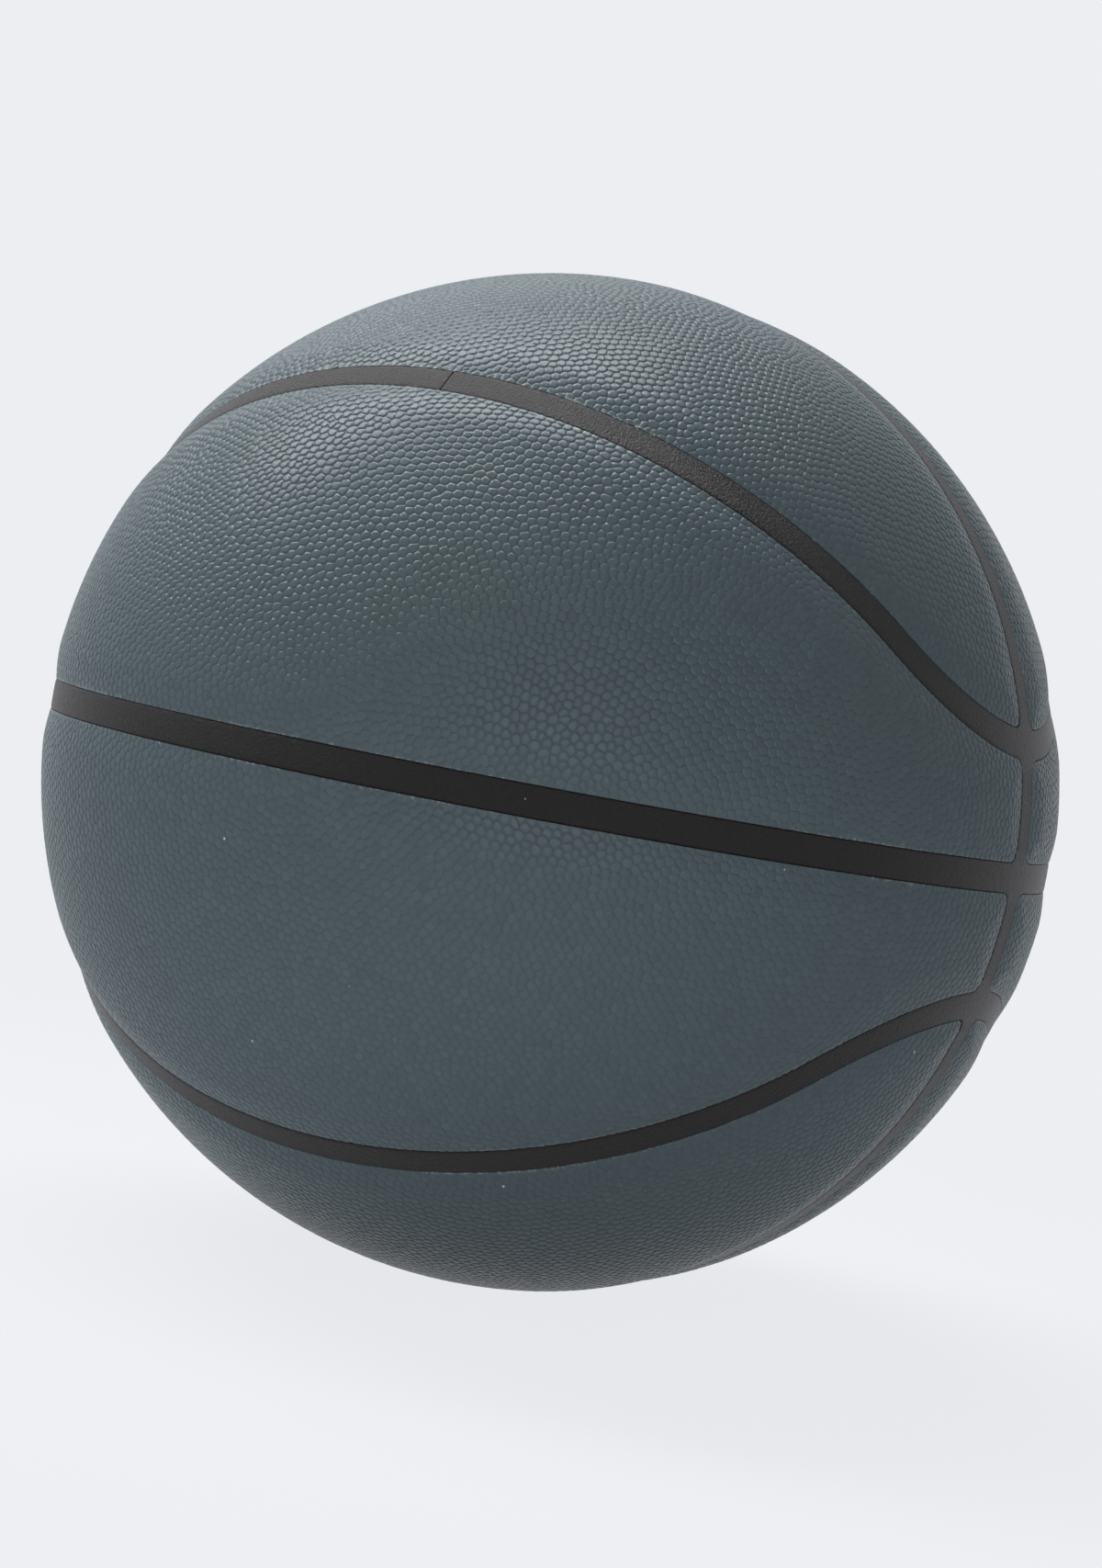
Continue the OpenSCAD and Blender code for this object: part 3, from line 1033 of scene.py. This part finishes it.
@dataclass
class Valve:
    """Rubber boot and plug on the valve's axis, both turned from a profile.

    Attributes:
        axis: unit vector from the ball's centre through the valve.
        material: the soft rubber.
        mouth: distance of the boot's mouth from the ball's centre.
        steps: number of steps round the axis.
    """
    axis: Array
    material: Material
    mouth: float = BALL_R - 0.4
    steps: int = 72

    def turn(self, node: str, profile: Array) -> None:
        """Turns a closed profile round the axis, and makes it stand for a CAD node.

        A point on the axis stays one point, and its neighbours close on it with a fan.

        Args:
            node: the CAD node.
            profile: n x 2 radii and heights in mm, in order round the section.
        """
        ring = circle_round(self.axis, self.steps)
        grid = profile[:, 0, None, None] * ring[None] + profile[:, 1, None, None] * self.axis
        number = np.arange(len(profile) * self.steps).reshape(len(profile), self.steps)
        poles = profile[:, 0] < 1e-6
        number[poles] = number[poles][:, :1]
        faces = ring_faces(number, np.roll(number, -1, axis=0))
        faces = faces[(faces != np.roll(faces, -1, axis=1)).all(axis=1)]
        used, at = np.unique(faces, return_inverse=True)
        points, faces = grid.reshape(-1, 3)[used], at.reshape(faces.shape)
        make_piece(f"moulded_{node}", points, turned_out(points, faces), node,
                   self.material, sharp=40)

    def boot(self) -> None:
        """The boot: lip, tube, flange inside the bladder, inner end, bore and plug seats."""
        top, outer, inner = self.mouth, 114.25, 113.05

        def sphere(radius: float, wide: Array) -> Array:
            """Heights of the flange's faces: sqrt(radius^2 - r^2)."""
            return np.stack([wide, np.sqrt(radius ** 2 - wide ** 2)], axis=1)

        flange = np.linspace(4.9, 12.7, 12)
        profile = np.vstack([
            [[3.05, top - 0.12], [3.15, top - 0.03], [3.4, top], [4.1, top], [4.38, top - 0.08],
             [4.5, top - 0.3], [4.5, outer + 0.25], [4.6, outer - 0.02]],
            sphere(outer, flange), [[12.97, 113.3], [13.0, 112.9], [12.93, 112.5]],
            sphere(inner, flange[::-1]), [[4.62, inner - 0.3], [4.5, inner - 0.7], [4.5, 95.5],
             [4.42, 95.22], [4.15, 95.1], [2.55, 95.1], [2.38, 95.2], [2.35, 95.4], [2.35, 107.05],
             [3.05, 107.05], [3.05, 108.75], [2.35, 108.75], [2.35, 116.65], [3.05, 116.65]]])
        self.turn("valve_boot", profile)

    def plug(self) -> None:
        """The plug: head with its funnel and needle hole, stem and locking collar."""
        top = self.mouth
        profile = np.array([
            [0.0, top - 13.0], [0.7, top - 12.98], [1.05, top - 12.6], [1.05, top - 1.0],
            [1.18, top - 0.72], [1.62, top - 0.12], [1.8, top - 0.02], [2.0, top], [2.6, top],
            [2.88, top - 0.08], [3.0, top - 0.3], [3.0, 116.7], [2.3, 116.7], [2.3, 108.7],
            [2.85, 108.7], [3.0, 108.5], [3.0, 107.3], [2.85, 107.1], [2.3, 107.1], [2.3, 100.0],
            [2.2, 99.78], [1.95, 99.7], [0.0, 99.7]])
        self.turn("valve_plug", profile)


@dataclass
class Winding:
    """The wound layer: flat thread bands laid round the ball on a closed ground layer.

    Attributes:
        valve: unit vector towards the valve, which every band passes by.
        material: the thread.
        bands: number of bands.
        wide: width of a band.
        ground, top, bottom: radii of the ground layer, the bands' crests and the inside.
        steps, corners: number of steps along a band, and of points round its section.
        seed: number that fixes how the bands lie.
    """
    valve: Array
    material: Material
    bands: int = 44
    wide: float = 5.0
    ground: float = 115.2
    top: float = 115.44
    bottom: float = 114.96
    steps: int = 160
    corners: int = 8
    seed: int = 5

    def layer(self) -> tuple[Array, Array]:
        """The ground layer: two spheres joined by the wall of the valve's hole.

        Returns:
            The points and triangles.
        """
        rows, steps = 49, 96
        polar = np.linspace(VALVE_HOLE_R / self.ground, math.pi - 1e-3, rows)
        polar = np.concatenate([polar, polar[::-1]])[:, None, None]
        radius = np.repeat([self.ground, self.bottom], rows)[:, None, None]
        grid = radius * swing(polar, self.valve, circle_round(self.valve, steps)[None])
        number = np.arange(2 * rows * steps).reshape(-1, steps)
        joins = np.arange(2 * rows) != rows - 1
        far = [np.stack([np.full(steps - 2, row[0]), row[2:], row[1:-1]], axis=1)
               for row in (number[rows - 1], number[rows][::-1])]
        return grid.reshape(-1, 3), np.vstack([
            ring_faces(number[joins], np.roll(number, -1, axis=0)[joins]), *far])

    def build(self) -> None:
        """Makes the layer and its bands.

        A band follows a great circle whose pole is far enough from square to the valve to
        pass by its hole. Its section is a flat lens.
        """
        rng = np.random.default_rng(self.seed)
        poles = unit(rng.normal(size=(self.bands * 3, 3)))
        clear = np.abs(np.arcsin(poles @ self.valve)) * self.ground > VALVE_HOLE_R + self.wide
        poles = poles[clear][:self.bands]
        side = unit(np.cross(poles, [0.31, 0.52, 0.8]))
        ahead = np.cross(poles, side)
        turn = (np.arange(self.steps) * 2 * math.pi / self.steps)[None, :, None]
        ring = swing(turn, side[:, None], ahead[:, None])
        section = np.arange(self.corners) * 2 * math.pi / self.corners
        lean = np.cos(section) * self.wide / 2 / self.ground
        half = (self.top - self.ground) / 2
        radius = self.ground + half + np.sin(section) * half * 0.98
        points = swing(lean[:, None], ring[:, :, None], poles[:, None, None]) * radius[:, None]
        rings = len(poles) * self.steps
        number = np.arange(rings * self.corners).reshape(-1, self.steps, self.corners)
        nxt, up = np.roll(number, -1, axis=1), np.roll(number, -1, axis=2)
        quads = np.stack([number, up, np.roll(nxt, -1, axis=2), nxt], axis=-1).reshape(-1, 4)
        layer_points, layer_faces = self.layer()
        bands = np.vstack([quads[:, [0, 1, 2]], quads[:, [0, 2, 3]]]) + len(layer_points)
        lean_of = np.concatenate([np.zeros(len(layer_points)), np.tile(np.cos(section), rings)])
        make_piece("wound_thread_layer", np.vstack([layer_points, points.reshape(-1, 3)]),
                   np.vstack([layer_faces, bands]), "winding", self.material,
                   {"lean": lean_of * self.wide / 2}, sharp=50)


@dataclass
class InnerLayers:
    """Sponges, carcass and bladder, whose CAD shapes are right and only need a finish."""
    nodes: dict[str, Piece]

    def dress(self) -> None:
        """Gives each node its material."""
        foam = ClosedCellFoam().make()
        carcass = PlainRubber("natural_rubber_moulded", "#2b2b2c", "#3a3a3a", 0.55, 0.6).make()
        butyl = PlainRubber("butyl_rubber_sheet", "#19191b", "#242427", 0.38, 1.2).make()
        chosen = {"carcass": carcass, "bladder": butyl}
        chosen.update({name: foam for name in self.nodes if "sponge" in name})
        for name, material in chosen.items():
            slots = self.nodes[name].data.materials
            slots.clear()
            slots.append(material)
            log.info("%s: dressed in %s", name, material.name)


# ---------------------------------------------------------------------- studio

@dataclass(frozen=True)
class Studio:
    """Pale floor, soft light and the camera at the photograph's angle.

    Attributes:
        ground: height of the floor in mm.
        pale: sRGB hex colour of the floor and the backdrop.
        daylight: sRGB hex colour of the light from all round.
        fill: strength of that light.
        right, back: the camera's own axes, to its right and away from the ball.
        lens: focal length in mm, on a sensor 36 mm wide.
        stand: how far the camera stands back, to its right and up, in mm.
        lamps: name, place and size in metres, and power in watts, of each lamp.
    """
    ground: float = -118.99
    pale: str = "#edeef2"
    daylight: str = "#f4f6fa"
    fill: float = 0.1
    right: tuple[float, float, float] = (-0.4479, 0.8751, 0.1832)
    back: tuple[float, float, float] = (0.8928, 0.4488, 0.0387)
    lens: float = 80.67
    stand: tuple[float, float, float] = (833.0, 0.16, -0.385)
    lamps: tuple[tuple[str, tuple[float, ...], tuple[float, float], float], ...] = (
        ("top_softbox", (0.056, -0.454, 0.889), (1.1, 0.25), 15.0),
        ("back_softbox", (-0.167, -0.491, 0.855), (1.1, 0.2), 4.0),
        ("side_softbox", (0.743, 0.25, 0.62), (0.5, 0.5), 0.5),
        ("front_softbox", (0.893, 0.429, 0.136), (0.6, 0.6), 3.0),
        ("rear_softbox", (-0.893, -0.449, -0.039), (0.3, 0.3), 4.0))

    def floor(self) -> None:
        """Lays a level round floor under the ball, which keeps the ball's shadow."""
        sides, metres = 96, 6.0
        turn = np.linspace(0, 2 * math.pi, sides + 1)[:-1]
        ring = swing(turn[:, None], X, Y) * metres
        ring[:, 2] = self.ground * MM
        mesh = bpy.data.meshes.new("floor")
        mesh.from_pydata(ring.tolist(), [], [list(range(sides))])
        plate = bpy.data.objects.new("floor", mesh)
        bpy.context.scene.collection.objects.link(plate)
        paper = Surface("pale_paper_floor")
        tree = paper.tree
        far = add(tree, "VectorMath", {0: paper.place}, operation="LENGTH")
        share = add(tree, "MapRange", {"Value": far, "From Min": 0.12, "From Max": 0.5,
                                       "To Min": 0.93, "To Max": 1.0},
                    interpolation_type="SMOOTHSTEP")
        both = paper.calc("MULTIPLY", self.seen(tree), share)
        matt = add(tree, "BsdfDiffuse", {"Color": self.pale})
        glow = add(tree, "Emission", {"Color": self.pale, "Strength": 1.0})
        mixed = add(tree, "MixShader", {0: both, 1: matt, 2: glow})
        add(tree, "OutputMaterial", {0: mixed})
        mesh.materials.append(paper.material)

    @staticmethod
    def seen(tree: Tree) -> Node:
        """Adds the test for rays that show the background.

        Args:
            tree: node tree that takes the test.

        Returns:
            Node that gives 1 for camera, glossy and transmission rays.
        """
        path = add(tree, "LightPath").outputs
        two = add(tree, "Math", {0: path["Is Camera Ray"], 1: path["Is Glossy Ray"]},
                  operation="MAXIMUM")
        return add(tree, "Math", {0: two, 1: path["Is Transmission Ray"]}, operation="MAXIMUM")

    def world(self) -> None:
        """Makes the pale backdrop, which lights the ball softly from all round."""
        world = bpy.data.worlds.new("pale_studio")
        world.use_nodes = True
        tree = world.node_tree
        tree.nodes.clear()
        backdrop = add(tree, "Background", {"Color": self.pale, "Strength": 1.0})
        light = add(tree, "Background", {"Color": self.daylight, "Strength": self.fill})
        mixed = add(tree, "MixShader", {0: self.seen(tree), 1: light, 2: backdrop})
        add(tree, "OutputWorld", {0: mixed})
        bpy.context.scene.world = world

    def aim(self, data: bpy.types.ID, back: Array, place: Array) -> Piece:
        """Hangs a lamp or camera that looks along -back, its width along right.

        Args:
            data: the lamp or camera.
            back: unit vector from the ball towards it.
            place: where it hangs, in metres.

        Returns:
            Its object.
        """
        right = np.array(self.right)
        across = unit(right - back * (right @ back))
        rise = np.cross(back, across)
        held = bpy.data.objects.new(data.name, data)
        held.matrix_world = Matrix([[across[i], rise[i], back[i], place[i]] for i in range(3)]
                                   + [[0, 0, 0, 1]])
        bpy.context.scene.collection.objects.link(held)
        return held

    def light(self) -> None:
        """Hangs the soft rectangular lamps, which all point at the ball."""
        for name, place, size, power in self.lamps:
            data = bpy.data.lights.new(name, "AREA")
            data.shape = "RECTANGLE"
            data.size, data.size_y = size
            data.energy = power
            self.aim(data, unit(np.array(place)), np.array(place))

    def camera(self) -> None:
        """Sets the camera up as the photograph shows the ball."""
        back = unit(np.array(self.back))
        right = np.array(self.right)
        right = unit(right - back * (right @ back))
        data = bpy.data.cameras.new("photo_camera")
        data.sensor_width = 36.0
        data.lens = self.lens
        data.clip_start = 0.01
        away, aside, up = self.stand
        place = (back * away + right * aside + np.cross(back, right) * up) * MM
        bpy.context.scene.camera = self.aim(data, back, place)

    def build(self) -> None:
        """Sets up the whole studio."""
        self.floor()
        self.world()
        self.light()
        self.camera()
        bpy.context.scene.view_settings.view_transform = "Standard"


def main() -> None:
    """Builds the ball from the outside in, then the studio, and reports each piece."""
    logging.basicConfig(level=logging.INFO, format="%(message)s")
    plan = SeamPlan()
    leather = PebbledLeather().make()
    valve = swing(math.radians(VALVE_BELOW), -X, -Z)
    holed = (PanelKind.BAND, Level.LOWER, Fore.REAR)
    for seed, (kind, level, fore) in enumerate(product(PanelKind, Level, Fore), start=11):
        hole = valve if (kind, level, fore) == holed else None
        CoverPanel(kind, fore, level, plan, leather, seed, hole).build()
    ChannelStrips(plan, GrainedRubber().make()).build()
    rubber = PlainRubber("valve_rubber_moulded", "#303133", "#3a3b3d", 0.5, 0.5).make()
    fitting = Valve(valve, rubber)
    fitting.boot()
    fitting.plug()
    Winding(valve, WoundNylon().make()).build()
    InnerLayers(frame["nodes"]).dress()
    Studio().build()


if __name__ == "__main__":
    main()
